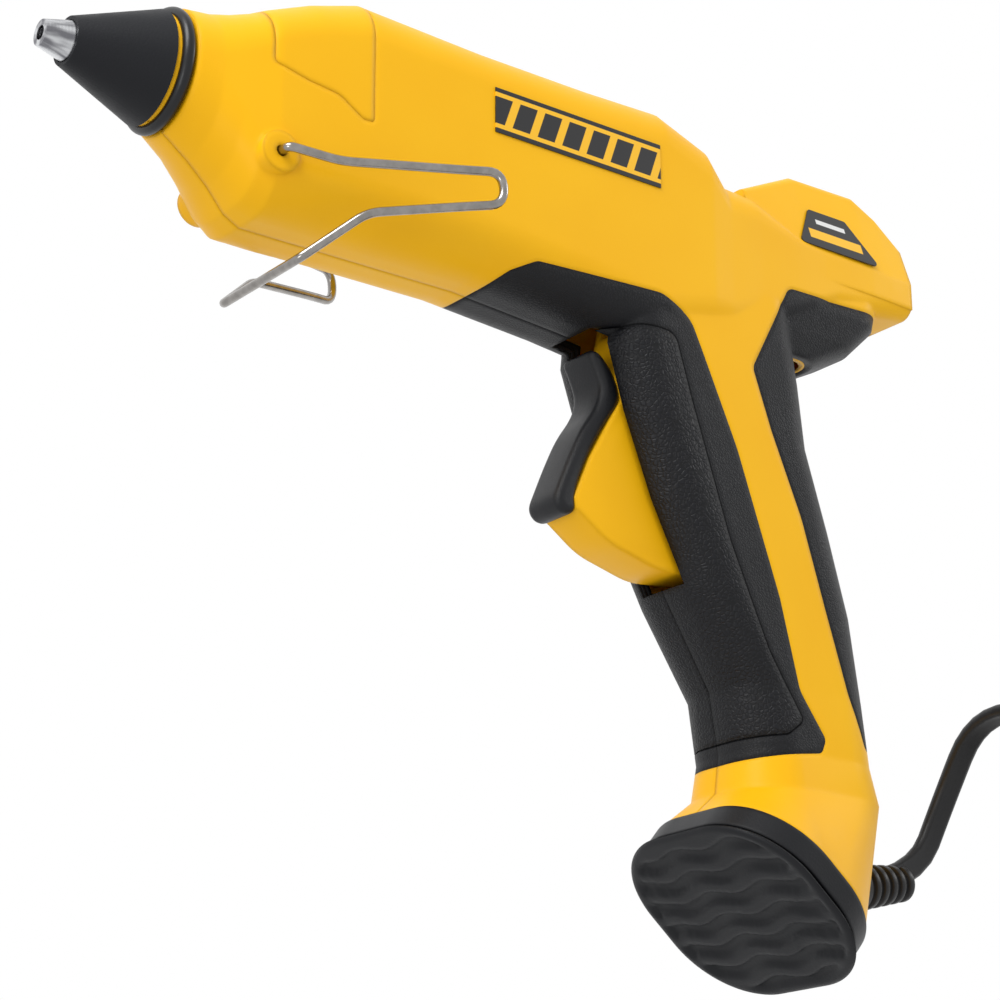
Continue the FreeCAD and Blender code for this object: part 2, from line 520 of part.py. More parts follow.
# Torsion spring on the pin's left end, its legs on the lever and on the housing.
COIL_RADIUS, WIRE, TURNS, PITCH = 3.0, 0.45, 3, 1.0
helix = Part.makeHelix(PITCH, PITCH * TURNS, COIL_RADIUS)
circle = Part.Wire(Part.makeCircle(WIRE, Vector(COIL_RADIUS, 0, 0), Vector(0, 1, 0)))
spring = Part.Wire(helix).makePipeShell([circle], True, True)
spring.Placement = Placement(PIVOT + Vector(0, -6.6, 0), Rotation(Vector(1, 0, 0), 90))
keep(shaped("trigger_spring", spring), "trigger_spring")

# ---------------------------------------------------------------- wire stand
# One bent spring wire: an end in each boss, a loop reaching back on each side, a cross bar below.
HALF_WIRE = [(49.0, -11.5, -19.6), (49.0, -19.8, -19.6), (61.2, -20.0, -19.6), (96.6, -33.5, -17.2),
             (97.6, -33.4, -25.2), (67.6, -22.7, -30.7), (55.3, -15.4, -42.0)]
HALF_BENDS = [2.4, 8.0, 3.5, 3.5, 8.0, 4.0]
wire_points = [Vector(*point) for point in HALF_WIRE]
wire_points += [Vector(x, -y, z) for x, y, z in reversed(HALF_WIRE)]
stand_route = rounded_route(wire_points, HALF_BENDS + HALF_BENDS[::-1])
keep(swept("wire_stand", stand_route, "dims.wire_radius"), "wire_stand")

# ---------------------------------------------------------------- foot, in the table frame
def foot_outline(shrink):
    half_length, half_width = size("foot_half_length") - shrink, size("foot_half_width") - shrink
    middle = size("foot_middle")
    points = [(middle - half_length, -half_width), (middle + half_length, -half_width),
              (middle + half_length, half_width), (middle - half_length, half_width)]
    return points, [size("foot_corner") - shrink] * 4


points, radii = foot_outline(0.8)
foot_base = padded("foot_base_body", points, radii, "dims.foot_rim - dims.sole_thickness", "XY_Plane", False)
over_sole = Placement(Vector(0, 0, size("sole_thickness")), Rotation())
keep(foot_base, "foot_base", ON_TABLE.multiply(over_sole))
points, radii = foot_outline(0.0)
sole_body = padded("sole_body", points, radii, "dims.sole_thickness", "XY_Plane", False)
rib_gaps = [block(f"sole_gap_{number}", (size("foot_middle") - 18.5 + 7.4 * number, -21.0, -1.0),
                  (3.2, 42.0, 1.0 + size("sole_rib_depth"))) for number in range(6)]
keep(cut("foot_sole", sole_body, join("sole_gaps", rib_gaps)), "foot_sole", ON_TABLE)

# ---------------------------------------------------------------- wiring inside the handle
keep(block("terminal_block", (203.0, -7.0, -138.0), (14.0, 14.0, 10.0)), "terminal_block")
for side, label in ((-1, "left"), (1, "right")):
    lead_points = [Vector(209.0, 4.0 * side, -127.9), Vector(206.0, 4.5 * side, -112.0),
                   Vector(195.0, 9.6 * side, -84.0), Vector(189.0, 11.0 * side, -52.0),
                   Vector(175.0, 11.6 * side, -25.0), Vector(140.0, 11.6 * side, -17.0),
                   Vector(104.0, 11.4 * side, -17.5), Vector(80.4, 4.0 * side, -13.6)]
    lead_route = rounded_route(lead_points)
    keep(swept("heater_lead_" + label, lead_route, "dims.lead_radius"), "heater_lead_" + label)
relief_form = bind(doc.addObject("Part::Cone", "relief_taper"), {
    "Radius1": "dims.relief_root", "Radius2": "dims.relief_end", "Height": "dims.relief_length"})
relief_turn = Rotation(Vector(0, 0, 1), RELIEF_WAY)
relief_form.Placement = Placement(RELIEF_ROOT, relief_turn)
flange = bind(doc.addObject("Part::Cylinder", "relief_flange"), {"Radius": "dims.relief_root + 2"})
flange.Height = 2.0
flange.Placement = Placement(RELIEF_ROOT - RELIEF_WAY * 2.0, relief_turn)
keep(join("strain_relief_form", [relief_form, flange]), "strain_relief")

# ---------------------------------------------------------------- cord, coil and plug, on the table
def gun_to_table(point):
    """A point of the gun's frame, in the table frame that starts under the nozzle's tip."""
    return ON_TABLE.inverse().multiply(SET_DOWN).multVec(point)


relief_inside = gun_to_table(RELIEF_ROOT + RELIEF_WAY * 1.0)
relief_heading = gun_to_table(RELIEF_ROOT + RELIEF_WAY * 25.0)
CORD_ROUTE = [relief_inside, relief_heading, Vector(277.0, -6.0, 69.5), Vector(264.6, -26.0, 77.0),
              Vector(266.6, -46.0, 75.0), Vector(280.6, -57.0, 62.0), Vector(298.6, -59.0, 40.0),
              Vector(320.6, -58.0, 20.0), Vector(346.6, -55.6, 7.6), Vector(370.6, -54.6, 4.4),
              Vector(388.6, -54.5, 3.8)]
cord_wire = rounded_route(CORD_ROUTE)
keep(swept("cord_tube", cord_wire, "dims.cord_radius"), "cord", ON_TABLE)
COIL_CENTRE = Vector(393.6, -19.0, 0.0)
coil_form = bind(doc.addObject("Part::Cylinder", "coil_form"),
                 {"Radius": "dims.coil_outer", "Height": "dims.coil_height"})
coil_way = bind(doc.addObject("Part::Cylinder", "coil_way"),
                {"Radius": "dims.coil_inner", "Height": "dims.coil_height"})
coil = cut("coil_ring", coil_form, coil_way)
keep(coil, "cord_coil", ON_TABLE.multiply(Placement(COIL_CENTRE, Rotation())))

# The plug lies on the coil, its blades along +Y.
plug_corner = COIL_CENTRE + Vector(25.0, -14.0, size("coil_height"))
PLUG_PLACE = ON_TABLE.multiply(Placement(plug_corner, Rotation()))
half = size("plug_width") / 2
plug_body = padded("plug_outline_body", [(-half, 0.0), (half, 0.0), (half, size("plug_length")),
                                         (-half, size("plug_length"))], [9.0, 9.0, 1.5, 1.5],
                   "dims.plug_height", "XY_Plane", False)
keep(plug_body, "plug_body", PLUG_PLACE)
blades = []
for side in (-1, 1):
    blade = bind(doc.addObject("Part::Box", f"blade_{side + 1}"), {
        "Length": "dims.blade_thickness", "Width": "dims.blade_length", "Height": "dims.blade_width"})
    x = side * size("blade_spacing") / 2 - size("blade_thickness") / 2
    blade_low = (size("plug_height") - size("blade_width")) / 2
    blade.Placement = Placement(Vector(x, size("plug_length"), blade_low), Rotation())
    blades.append(blade)
keep(join("blade_pair", blades), "plug_blades", PLUG_PLACE)

# ---------------------------------------------------------------- printed marks: thin generic plates
MARK_GAP, MARK_THICK, BADGE_STAND = 0.02, 0.3, 0.16
side_face = 17.0 + MARK_GAP
BADGE = [(201.8, 2.4), (229.0, 2.2), (220.6, 14.4), (208.0, 14.4)]
fin_lean = math.atan2(FIN[1][3] - FIN[1][2], FIN[1][1] - FIN_BASE)
for side, label in ((-1, "left"), (1, "right")):
    mark = block("side_mark_form_" + label, (106.0, side_face if side > 0 else -side_face - MARK_THICK, 2.4),
                 (49.0, MARK_THICK, 11.2))
    keep(mark, "side_mark_" + label)
    corners = [Vector(x, 0, z - FIN_BASE) for x, z in BADGE]
    badge_wire = Part.Wire([edge.toShape() for edge in rounded_edges(corners, [1.0] * 4)])
    plate = Part.Face(badge_wire).extrude(Vector(0, side * MARK_THICK, 0))
    plate.Placement = Placement(Vector(0, side * (FIN[1][3] + BADGE_STAND), FIN_BASE),
                                Rotation(Vector(1, 0, 0), side * math.degrees(fin_lean)))
    keep(shaped("rear_badge_" + label, plate), "rear_badge_" + label)
doc.recompute()


def check(item):
    bad = [state for state in item.State if state in ("Invalid", "Error")]
    if bad:
        raise SystemExit(f"{item.Name}: {bad}")


for item in doc.Objects:
    check(item)
for piece in sub_parts:
    shape = piece.Shape
    if shape.isNull() or not shape.isValid() or not shape.Solids:
        raise SystemExit(f"{piece.Label}: no valid solid")
    box = shape.BoundBox
    print(f"{piece.Label:24s} solids {len(shape.Solids)} volume {shape.Volume / 1000:.2f} cm3",
          f"X {box.XMin:.1f}..{box.XMax:.1f} Z {box.ZMin:.2f}..{box.ZMax:.1f}")
    shape.exportStep(f"parts/{piece.Label}.step")
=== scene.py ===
import json
import math
import bpy
from mathutils import Matrix, Vector

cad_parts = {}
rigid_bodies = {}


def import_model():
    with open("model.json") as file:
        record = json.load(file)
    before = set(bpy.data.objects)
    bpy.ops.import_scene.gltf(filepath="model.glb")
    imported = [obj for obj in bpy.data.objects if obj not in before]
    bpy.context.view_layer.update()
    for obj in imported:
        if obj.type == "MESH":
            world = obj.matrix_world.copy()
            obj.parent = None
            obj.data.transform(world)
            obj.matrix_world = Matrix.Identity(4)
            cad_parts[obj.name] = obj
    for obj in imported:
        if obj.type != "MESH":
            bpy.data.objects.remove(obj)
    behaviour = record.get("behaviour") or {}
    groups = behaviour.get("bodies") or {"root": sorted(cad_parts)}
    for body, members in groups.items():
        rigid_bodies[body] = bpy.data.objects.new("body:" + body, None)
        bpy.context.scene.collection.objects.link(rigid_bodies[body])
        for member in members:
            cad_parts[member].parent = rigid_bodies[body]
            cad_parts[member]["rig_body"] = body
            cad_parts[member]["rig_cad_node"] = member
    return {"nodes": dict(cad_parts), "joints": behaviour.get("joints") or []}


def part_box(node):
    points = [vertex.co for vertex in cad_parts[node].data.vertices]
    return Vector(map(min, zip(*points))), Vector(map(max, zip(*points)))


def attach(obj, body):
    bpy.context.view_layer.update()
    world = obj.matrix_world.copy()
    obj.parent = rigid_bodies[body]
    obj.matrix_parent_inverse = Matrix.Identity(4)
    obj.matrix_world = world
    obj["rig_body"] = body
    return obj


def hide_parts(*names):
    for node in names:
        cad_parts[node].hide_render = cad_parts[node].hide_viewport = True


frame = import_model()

bpy.ops.object.select_all(action="DESELECT")
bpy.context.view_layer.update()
scene = bpy.context.scene
scene.view_settings.view_transform = "Standard"

# ---------------------------------------------------------------- camera
# It looks up at the gun from below its left front, so that the ribbed sole of its foot shows.
CAMERA_PLACE = Vector((-0.13505, -0.4557, -0.3548))
VIEW_WAY = Vector((0.2222, 0.7524, 0.6201)).normalized()
VIEW_UP = Vector((-0.7628, -0.2618, 0.5911)).normalized()
view_right = VIEW_WAY.cross(VIEW_UP).normalized()
view_up = view_right.cross(VIEW_WAY)
camera_data = bpy.data.cameras.new("camera")
camera_data.lens = 97.2
camera_data.sensor_width = 36.0
camera_data.clip_start = 0.01
camera = bpy.data.objects.new("camera", camera_data)
camera_turn = Matrix((view_right, view_up, -VIEW_WAY)).transposed()
camera.matrix_world = Matrix.Translation(CAMERA_PLACE) @ camera_turn.to_4x4()
scene.collection.objects.link(camera)
scene.camera = camera


# ---------------------------------------------------------------- yellow housing
# Two injection-moulded halves in amber-yellow plastic, screwed together along the middle of the
# gun, with a saddle-shaped cover let into the top.  The mould leaves a fine satin texture.
class Sock:
    """A node socket in a material's maths: + - * / and a few named nodes."""

    def __init__(self, tree, link):
        self.tree = tree
        self.link = link

    def node(self, kind, settings=None, **sockets):
        """Adds a node with its settings, then its sockets' values or links, and returns it."""
        made = self.tree.nodes.new("ShaderNode" + kind)
        for name, value in (settings or {}).items():
            setattr(made, name, value)
        for name, value in sockets.items():
            key = int(name[1:]) if name[0] == "i" and name[1:].isdigit() else name.replace("_", " ")
            if isinstance(value, Sock):
                self.tree.links.new(value.link, made.inputs[key])
            else:
                made.inputs[key].default_value = value
        return made

    def out(self, kind, settings=None, output=0, **sockets):
        return Sock(self.tree, self.node(kind, settings, **sockets).outputs[output])

    def maths(self, operation, first, second=0.0):
        return self.out("Math", {"operation": operation}, i0=first, i1=second)

    def __add__(self, other):
        return self.maths("ADD", self, other)

    def __radd__(self, other):
        return self.maths("ADD", other, self)

    def __sub__(self, other):
        return self.maths("SUBTRACT", self, other)

    def __rsub__(self, other):
        return self.maths("SUBTRACT", other, self)

    def __mul__(self, other):
        return self.maths("MULTIPLY", self, other)

    def __rmul__(self, other):
        return self.maths("MULTIPLY", other, self)

    def above(self, edge, soft):
        """0 below the edge and 1 above it, with a soft step."""
        return self.out("MapRange", {"interpolation_type": "SMOOTHSTEP"},
                        i0=self, i1=edge - soft, i2=edge + soft)

    def within(self, low, high, soft):
        """1 between two edges and 0 outside them, with soft steps."""
        return self.above(low, soft) * (1.0 - self.above(high, soft))

    def blend(self, first, second):
        """A colour that goes from the first to the second as this goes from 0 to 1."""
        return self.out("Mix", {"data_type": "RGBA"}, output=2, i0=self, i6=first, i7=second)


def material(name, colour, roughness, metallic=0.0, coat=0.0, coat_roughness=0.1, specular=0.5):
    """A new material; returns it, its shader node and a socket to start its maths from."""
    made = bpy.data.materials.new(name)
    made.use_nodes = True
    shader = made.node_tree.nodes["Principled BSDF"]
    shader.inputs["Base Color"].default_value = (*colour, 1.0)
    shader.inputs["Roughness"].default_value = roughness
    shader.inputs["Metallic"].default_value = metallic
    shader.inputs["Coat Weight"].default_value = coat
    shader.inputs["Coat Roughness"].default_value = coat_roughness
    shader.inputs["Specular IOR Level"].default_value = specular
    start = Sock(made.node_tree, None)
    place = start.out("TexCoord", output=3)
    return made, shader, place


def feed(shader, socket, value):
    shader.id_data.links.new(value.link, shader.inputs[socket])


def bump(shader, place, height, strength, distance, edge=0.0):
    """Fine relief on a surface, over edges that look eased by the given radius."""
    relief = place.node("Bump", Strength=strength, Distance=distance, Height=height)
    if edge:
        eased_edge = place.out("Bevel", {"samples": 6}, Radius=edge)
        place.tree.links.new(eased_edge.link, relief.inputs["Normal"])
    feed(shader, "Normal", Sock(place.tree, relief.outputs[0]))


def noise(place, scale, detail=3.0, roughness=0.55):
    return place.out("TexNoise", i0=place, Scale=scale, Detail=detail, Roughness=roughness)


def paint(finish, *nodes):
    """Gives CAD nodes a finish in place of the plain one they came with."""
    for node in nodes:
        mesh = frame["nodes"][node].data
        mesh.materials.clear()
        mesh.materials.append(finish)


YELLOW = (0.96, 0.515, 0.006)
YELLOW_DEEP = (0.93, 0.475, 0.004)
SATIN = {"coat": 0.03, "coat_roughness": 0.3, "specular": 0.16}
MOTTLE, GRAIN, SCUFF = 26.0, 2600.0, 140.0
GRAIN_STRENGTH, GRAIN_DEPTH, SOFT_EDGE = 0.10, 0.00025, 0.0019
yellow, shader, place = material("amber_plastic", YELLOW, 0.42, **SATIN)
mottle = noise(place, MOTTLE, 2.0)
tint = mottle.above(0.5, 0.3).blend((*YELLOW, 1.0), (*YELLOW_DEEP, 1.0))
feed(shader, "Base Color", tint)
grain = noise(place, GRAIN, 2.0, 0.6)
scuff = noise(place, SCUFF, 4.0, 0.6)
feed(shader, "Roughness", scuff * 0.16 + 0.32)
bump(shader, place, grain, GRAIN_STRENGTH, GRAIN_DEPTH, SOFT_EDGE)
paint(yellow, "top_saddle")

# The halves are as the cover is, but the inside walls of the trigger's slot are painted black:
# painted shade in that recess.
joints = {joint["name"]: joint for joint in frame["joints"]}
TIP_RADIUS = 0.00297
barrel_way = -Vector(joints["carriage_feed"]["axis"])
barrel_up = Vector((-barrel_way.z, 0.0, barrel_way.x))
tip = Vector((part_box("nozzle")[0][0] + TIP_RADIUS * barrel_way.z, 0.0, TIP_RADIUS * barrel_way.x))
tilt = math.atan2(barrel_way.z, barrel_way.x)


def at_gun(x, y, z):
    """A point in millimetres: rearward of the nozzle's tip, across the gun, above the bore."""
    return tip + barrel_way * (x / 1000) + Vector((0, y / 1000, 0)) + barrel_up * (z / 1000)


def along_gun(place):
    """Object coordinates turned the same way, in metres."""
    shift = (-tip.dot(barrel_way), 0.0, -tip.dot(barrel_up))
    return place.out("Mapping", Vector=place, Location=shift, Rotation=(0.0, tilt, 0.0))


def parts_of(vector):
    split = vector.node("SeparateXYZ", i0=vector)
    return [Sock(vector.tree, output) for output in split.outputs]


SLOT_SHADE_BLACK = (0.006, 0.006, 0.007)
SLOT_FRONT, SLOT_REAR, SLOT_LOW, SLOT_TOP = 0.126, 0.176, -0.128, -0.0215
SLOT_HALF, SLOT_STEP = 0.0077, 0.0004
halves, shader, place = material("amber_halves", YELLOW, 0.42, **SATIN)
x, y, z = parts_of(along_gun(place))
# The mask for the painted shade: the slot's inner walls, near the middle of the gun and within the
# slot's reach.
between = 1.0 - y.maths("ABSOLUTE", y).above(SLOT_HALF, 0.0001)
slot_shade_room = x.within(SLOT_FRONT, SLOT_REAR, SLOT_STEP) * z.within(SLOT_LOW, SLOT_TOP, SLOT_STEP)
tint = noise(place, MOTTLE, 2.0).above(0.5, 0.3).blend((*YELLOW, 1.0), (*YELLOW_DEEP, 1.0))
feed(shader, "Base Color", (between * slot_shade_room).blend(tint, (*SLOT_SHADE_BLACK, 1.0)))
feed(shader, "Roughness", noise(place, SCUFF, 4.0, 0.6) * 0.16 + 0.32)
bump(shader, place, noise(place, GRAIN, 2.0, 0.6), GRAIN_STRENGTH, GRAIN_DEPTH, SOFT_EDGE)
paint(halves, "housing_left", "housing_right")

# ---------------------------------------------------------------- soft black grips
# Soft black rubber moulded over the housing, with a leather-like grain that is coarser on the
# panels let into its sides.
SOFT_BLACK = (0.0062, 0.0068, 0.0092)
CREASE_SHADE_BLACK = (0.004, 0.0043, 0.0055)
GRIP_NODES = ("front_grip_left", "front_grip_right", "rear_grip_left", "rear_grip_right")
PANEL_NODES = ("grip_panel_left", "grip_panel_right")
LEATHERS = [("grip_rubber", 1500.0, 0.35, GRIP_NODES), ("panel_rubber", 950.0, 0.62, PANEL_NODES)]
for name, cell, depth, nodes in LEATHERS:
    rubber, shader, place = material(name, SOFT_BLACK, 0.5, specular=0.30)
    warp = noise(place, cell * 0.6, 2.0)
    cells = place.out("TexVoronoi", {"feature": "DISTANCE_TO_EDGE"}, Vector=place, Scale=cell)
    creases_and_shade = cells.above(0.12, 0.12)
    sheen = noise(place, 60.0, 3.0)
    feed(shader, "Roughness", sheen * 0.14 + 0.40)
    # The grain's creases are painted darker than the rubber around them: painted shade in the
    # creases. The same mask also raises the grain's relief.
    feed(shader, "Base Color", creases_and_shade.blend((*CREASE_SHADE_BLACK, 1.0), (*SOFT_BLACK, 1.0)))
    bump(shader, place, creases_and_shade * 0.7 + warp * 0.5, depth, 0.0003, 0.0022)
    paint(rubber, *nodes)

# ---------------------------------------------------------------- nose
# A turned aluminium nozzle, blunt at the tip, in a black rubber sleeve; a rubber ring closes
# the joint between the sleeve and the housing.
turned, shader, place = material("turned_aluminium", (0.60, 0.61, 0.63), 0.3, metallic=1.0)
x, y, z = parts_of(along_gun(place))
rings = (x * 9000.0).maths("SINE", x * 9000.0)
drawn = noise(along_gun(place), 900.0, 3.0)
feed(shader, "Roughness", drawn * 0.25 + 0.16)
# The dark and bright streaks stretched along the nozzle in its base colour are painted reflections,
# not wear.
lengthwise = along_gun(place).out("Mapping", Vector=along_gun(place), Scale=(0.04, 1.0, 1.0))
reflection_streaks = noise(lengthwise, 420.0, 2.0)
dark_reflection, bright_reflection = (0.22, 0.22, 0.24, 1.0), (0.74, 0.75, 0.77, 1.0)
feed(shader, "Base Color", reflection_streaks.above(0.5, 0.14).blend(dark_reflection, bright_reflection))
bump(shader, place, rings * 0.5 + drawn * 0.6, 0.22, 0.0001)
paint(turned, "nozzle")
SLEEVE_BLACK = (0.006, 0.0068, 0.0095)
sleeve_rubber, shader, place = material("sleeve_rubber", SLEEVE_BLACK, 0.5, specular=0.30)
bloom = noise(place, 220.0, 4.0)
feed(shader, "Roughness", bloom * 0.2 + 0.42)
bump(shader, place, noise(place, 1900.0, 3.0), 0.25, 0.0002)
paint(sleeve_rubber, "nose_sleeve")
ring_rubber, shader, place = material("ring_rubber", (0.006, 0.0066, 0.0085), 0.34, specular=0.45)
feed(shader, "Roughness", noise(place, 300.0, 3.0) * 0.15 + 0.26)
bump(shader, place, noise(place, 1500.0, 2.0), 0.08, 0.0001)
paint(ring_rubber, "collar_ring")

# ---------------------------------------------------------------- trigger
# A moulded yellow lever that swings on a steel pin in the handle, with a black pad for the
# fingers pressed on its front.
pad_black, shader, place = material("pad_black", (0.0056, 0.0062, 0.0084), 0.40, specular=0.38)
feed(shader, "Roughness", noise(place, 120.0, 3.0) * 0.16 + 0.34)
bump(shader, place, noise(place, 2300.0, 3.0, 0.65), 0.5, 0.00022)


def select_all_of(piece):
    bpy.ops.object.select_all(action="DESELECT")
    piece.select_set(True)
    bpy.context.view_layer.objects.active = piece


def eased(node, body, width, segments=3, finish=None, angle=28.0):
    """A copy of a CAD node with its sharp edges rounded off, standing for the node."""
    select_all_of(frame["nodes"][node])
    bpy.ops.object.duplicate()
    piece = bpy.context.object
    piece.name = node + "_eased"
    bpy.ops.object.mode_set(mode="EDIT")
    bpy.ops.mesh.select_all(action="SELECT")
    bpy.ops.mesh.remove_doubles(threshold=0.000002)
    bpy.ops.mesh.dissolve_limited(angle_limit=math.radians(1.0))
    bpy.ops.object.mode_set(mode="OBJECT")
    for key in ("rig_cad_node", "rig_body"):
        if key in piece:
            del piece[key]
    piece.parent = None
    soften = piece.modifiers.new("soften", "BEVEL")
    soften.width = width
    soften.segments = segments
    soften.limit_method = "ANGLE"
    soften.angle_limit = math.radians(angle)
    bpy.ops.object.modifier_apply(modifier="soften")
    bpy.ops.object.shade_smooth_by_angle(angle=math.radians(40.0))
    if finish:
        piece.data.materials.clear()
        piece.data.materials.append(finish)
    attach(piece, body)
    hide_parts(node)
    return piece


PAD_OUTLINE = [(141.8, -38.0), (144.2, -42.5), (145.9, -47.0), (144.2, -52.0), (139.8, -58.0),
               (136.4, -65.0), (133.4, -72.0), (131.3, -77.0), (134.0, -80.0), (138.0, -79.0),
               (137.4, -74.6), (141.5, -64.6), (146.5, -56.0), (152.2, -48.4), (149.6, -42.0),
               (145.2, -37.4)]
PAD_HALF, PAD_EDGE = 0.0059, 0.0019
pad_line = bpy.data.curves.new("finger_pad", "CURVE")
pad_line.dimensions = "2D"
spline = pad_line.splines.new("NURBS")
spline.points.add(len(PAD_OUTLINE) - 1)
for point, (x, z) in zip(spline.points, PAD_OUTLINE):
    point.co = (x / 1000, z / 1000, 0.0, 1.0)
spline.order_u = 3
spline.use_cyclic_u = True
spline.resolution_u = 8
pad_line.fill_mode = "BOTH"
pad_line.extrude = PAD_HALF - PAD_EDGE
pad_line.bevel_depth = PAD_EDGE
pad_line.bevel_resolution = 4
pad_line.offset = -PAD_EDGE
finger_pad = bpy.data.objects.new("finger_pad", pad_line)
scene.collection.objects.link(finger_pad)
pad_turn = Matrix((barrel_way, barrel_up, barrel_way.cross(barrel_up))).transposed()
finger_pad.matrix_world = Matrix.Translation(tip) @ pad_turn.to_4x4()
select_all_of(finger_pad)
bpy.ops.object.convert(target="MESH")
bpy.ops.object.transform_apply(location=True, rotation=True, scale=True)
bpy.ops.object.mode_set(mode="EDIT")
bpy.ops.mesh.select_all(action="SELECT")
bpy.ops.mesh.remove_doubles(threshold=0.000002)
bpy.ops.mesh.normals_make_consistent(inside=False)
bpy.ops.object.mode_set(mode="OBJECT")
bpy.ops.object.shade_smooth_by_angle(angle=math.radians(45.0))
finger_pad.data.materials.clear()
finger_pad.data.materials.append(pad_black)
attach(finger_pad, "trigger")
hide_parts("trigger_pad")
eased("trigger_lever", "trigger", 0.0006, 3, yellow)

# ---------------------------------------------------------------- wire stand
# One length of drawn spring-steel wire, bent to shape and sprung at both its ends into the
# holes of the bosses on the housing's sides.
wire, shader, place = material("drawn_wire", (0.42, 0.40, 0.38), 0.2, metallic=1.0)
streak = noise(along_gun(place), 420.0, 3.0)
feed(shader, "Roughness", streak * 0.12 + 0.16)
dull_wire, bright_wire = (0.30, 0.285, 0.27, 1.0), (0.42, 0.40, 0.38, 1.0)
feed(shader, "Base Color", streak.above(0.5, 0.3).blend(dull_wire, bright_wire))
bump(shader, place, noise(place, 1700.0, 2.0), 0.04, 0.0001)
WIRE_RADIUS = 0.00102
HALF_STAND = [(49.0, -11.5, -19.6, 0.0), (49.0, -20.4, -19.6, 3.0), (62.0, -20.6, -19.4, 6.0),
              (89.0, -31.0, -17.8, 0.0), (95.6, -33.3, -17.1, 0.0), (96.2, -33.4, -24.8, 0.0),
              (89.5, -30.8, -26.0, 0.0), (67.6, -22.7, -30.7, 6.0), (55.3, -15.4, -42.0, 4.0)]
bends = HALF_STAND + [(x, -y, z, reach) for x, y, z, reach in reversed(HALF_STAND)]
corners = [at_gun(x, y, z) for x, y, z, reach in bends]
way = [corners[0]]
for number in range(1, len(corners) - 1):
    corner, reach = corners[number], bends[number][3] / 1000
    if reach:
        way.append(corner + (corners[number - 1] - corner).normalized() * reach)
    way.append(corner)
    if reach:
        way.append(corner + (corners[number + 1] - corner).normalized() * reach)
way.append(corners[-1])
wire_line = bpy.data.curves.new("bent_wire", "CURVE")
wire_line.dimensions = "3D"
spline = wire_line.splines.new("NURBS")
spline.points.add(len(way) - 1)
for point, at in zip(spline.points, way):
    point.co = (*at, 1.0)
spline.order_u = 3
spline.use_endpoint_u = True
spline.resolution_u = 6
wire_line.bevel_depth = WIRE_RADIUS
wire_line.bevel_resolution = 5
wire_line.use_fill_caps = True
bent_wire = bpy.data.objects.new("bent_wire", wire_line)
scene.collection.objects.link(bent_wire)
select_all_of(bent_wire)
bpy.ops.object.convert(target="MESH")
bpy.ops.object.shade_smooth_by_angle(angle=math.radians(40.0))
bent_wire.data.materials.clear()
bent_wire.data.materials.append(wire)
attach(bent_wire, "stand")
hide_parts("wire_stand")

# ---------------------------------------------------------------- foot
# A moulded black cup screwed under the handle, with a rubber sole let into it.  The sole has a
# plain rim, and inside it wavy cross ribs that stop the gun from sliding.
foot_black, shader, place = material("foot_black", (0.0068, 0.0074, 0.0095), 0.48, specular=0.30)
feed(shader, "Roughness", noise(place, 90.0, 3.0) * 0.2 + 0.36)
bump(shader, place, noise(place, 1900.0, 3.0, 0.6), 0.35, 0.0002, 0.0012)
paint(foot_black, "foot_base")
sole_low, sole_high = (Vector(corner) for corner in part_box("foot_sole"))
sole_middle = (sole_low + sole_high) / 2
half_x, half_y = (sole_high.x - sole_low.x) / 2, (sole_high.y - sole_low.y) / 2
SOLE_CORNER, RINGS, AROUND, EDGE = 0.0200, 44, 144, 0.0022
RIB_PITCH, RIB_DEPTH, WAVE, WAVE_LENGTH = 0.0066, 0.0010, 0.0009, 0.0180
bpy.ops.object.select_all(action="DESELECT")
bpy.ops.mesh.primitive_circle_add(vertices=AROUND, radius=1.0, fill_type="NOTHING")
sole = bpy.context.object
sole.name = "ribbed_sole"
bpy.ops.object.mode_set(mode="EDIT")
bpy.ops.mesh.select_all(action="SELECT")
for ring in range(RINGS, 1, -1):
    bpy.ops.mesh.extrude_region_move()
    bpy.ops.transform.resize(value=((ring - 1) / ring, (ring - 1) / ring, 1.0))
bpy.ops.mesh.edge_face_add()
bpy.ops.object.mode_set(mode="OBJECT")


def sole_edge(turn):
    """How far the rounded-rectangle rim of the sole is from its middle, one way."""
    across, along = abs(math.cos(turn)), abs(math.sin(turn))
    low, high = 0.0, 0.05
    for halving in range(28):
        reach = (low + high) / 2
        over_x = reach * across - (half_x - SOLE_CORNER)
        over_y = reach * along - (half_y - SOLE_CORNER)
        past = math.hypot(over_x, over_y) if min(over_x, over_y) >= 0 else max(over_x, over_y)
        inside = past <= SOLE_CORNER
        low, high = (reach, high) if inside else (low, reach)
    return low


for vertex in sole.data.vertices:
    share = math.hypot(vertex.co.x, vertex.co.y)
    turn = math.atan2(vertex.co.y, vertex.co.x)
    edge = sole_edge(turn)
    x, y = edge * share * math.cos(turn), edge * share * math.sin(turn)
    rim = edge * (1 - share)
    wave = (x + WAVE * math.sin(math.tau * y / WAVE_LENGTH)) / RIB_PITCH
    groove = 0.5 + 0.5 * math.tanh(5.0 * (math.sin(math.tau * wave) - 0.1))
    groove *= min(1.0, max(0.0, (rim - EDGE) / 0.0010))
    crown = 0.0007 * max(0.0, 1 - rim / 0.0012) ** 2
    vertex.co = (sole_middle.x + x, sole_middle.y + y, RIB_DEPTH * groove + crown)
bpy.ops.object.mode_set(mode="EDIT")
bpy.ops.mesh.select_all(action="SELECT")
bpy.ops.mesh.normals_make_consistent(inside=False)
bpy.ops.object.mode_set(mode="OBJECT")
if sole.data.polygons[0].normal.z > 0:
    bpy.ops.object.mode_set(mode="EDIT")
    bpy.ops.mesh.flip_normals()
    bpy.ops.object.mode_set(mode="OBJECT")
thick = sole.modifiers.new("thick", "SOLIDIFY")
thick.thickness = sole_high.z - RIB_DEPTH - 0.0002
thick.offset = -1.0
bpy.ops.object.modifier_apply(modifier="thick")
